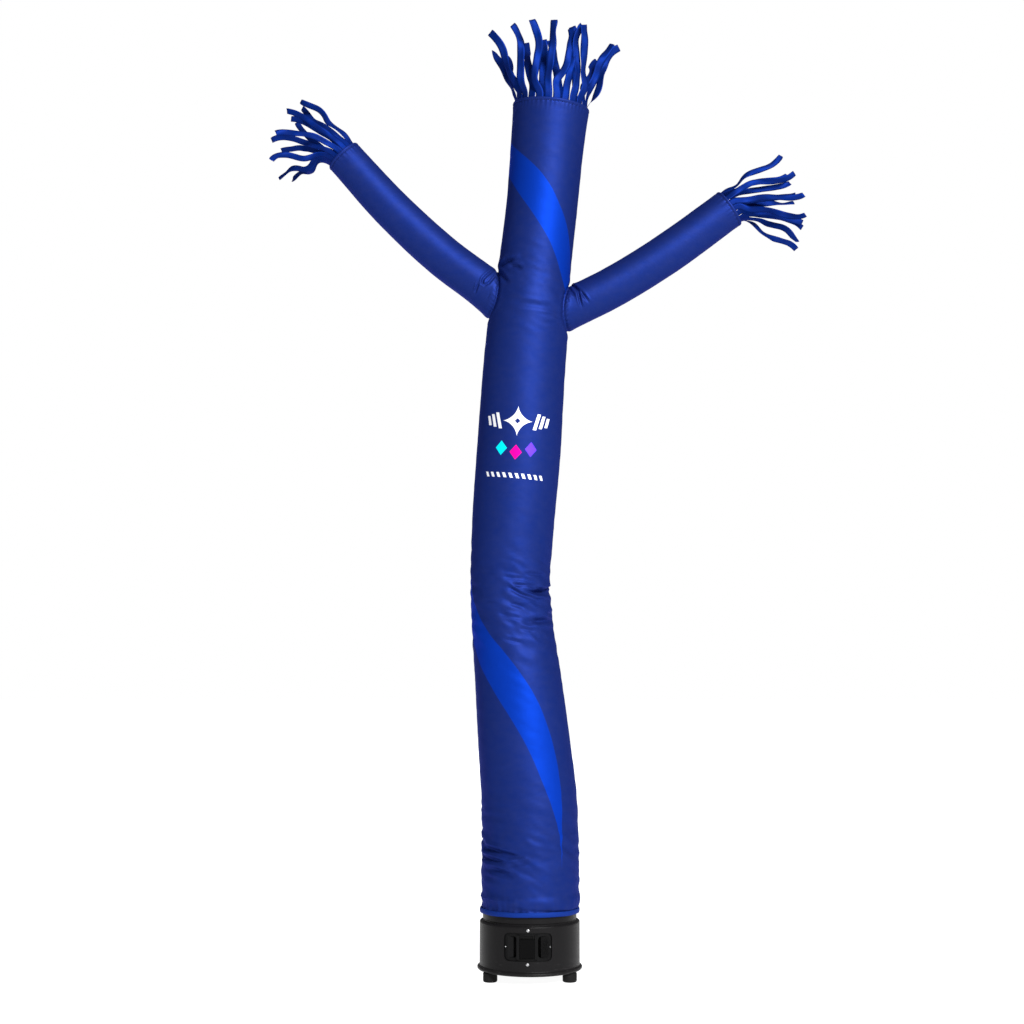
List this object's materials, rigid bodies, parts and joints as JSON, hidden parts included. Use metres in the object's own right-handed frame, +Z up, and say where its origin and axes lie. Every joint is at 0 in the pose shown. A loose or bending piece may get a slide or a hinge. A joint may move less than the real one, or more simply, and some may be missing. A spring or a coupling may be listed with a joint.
{
  "type": "inflatable air dancer on a blower",
  "caption": "Tall cloth air dancer with raised sleeves and streamer fringes at head and hands, banded onto a round base blower with a side panel and feet.",
  "frame": {"origin": "middle of the whole object's box, on the surface that the feet stand on", "axes": "+Z up along the tube, -Y to the front, where the blower's panel is, +X to the right seen from the front"},
  "size_m": [1.682, 0.319, 2.9405],
  "materials": {
    "navy_cloth": "satin woven nylon",
    "blue_cloth": "satin woven nylon",
    "band_cloth": "woven band",
    "charcoal_coat": "fine textured coat",
    "dark_plate": "satin",
    "dark_block": "satin",
    "bright_steel": "bright",
    "black_rubber": "matt"
  },
  "bodies": {
    "root": {"body_tube": "navy_cloth", "arm_left": "navy_cloth", "arm_right": "navy_cloth", "head_fringe": "blue_cloth", "hand_fringe_left": "blue_cloth", "hand_fringe_right": "blue_cloth", "base_band": "band_cloth", "blower_housing": "charcoal_coat", "side_panel": "dark_plate", "panel_block": "dark_block", "housing_screw_top": "bright_steel", "housing_screw_bottom": "bright_steel", "plate_screw_left": "bright_steel", "plate_screw_right": "bright_steel", "intake_guard": "dark_plate", "foot_1": "black_rubber", "foot_2": "black_rubber", "foot_3": "black_rubber", "foot_4": "black_rubber"}
  },
  "joints": []
}
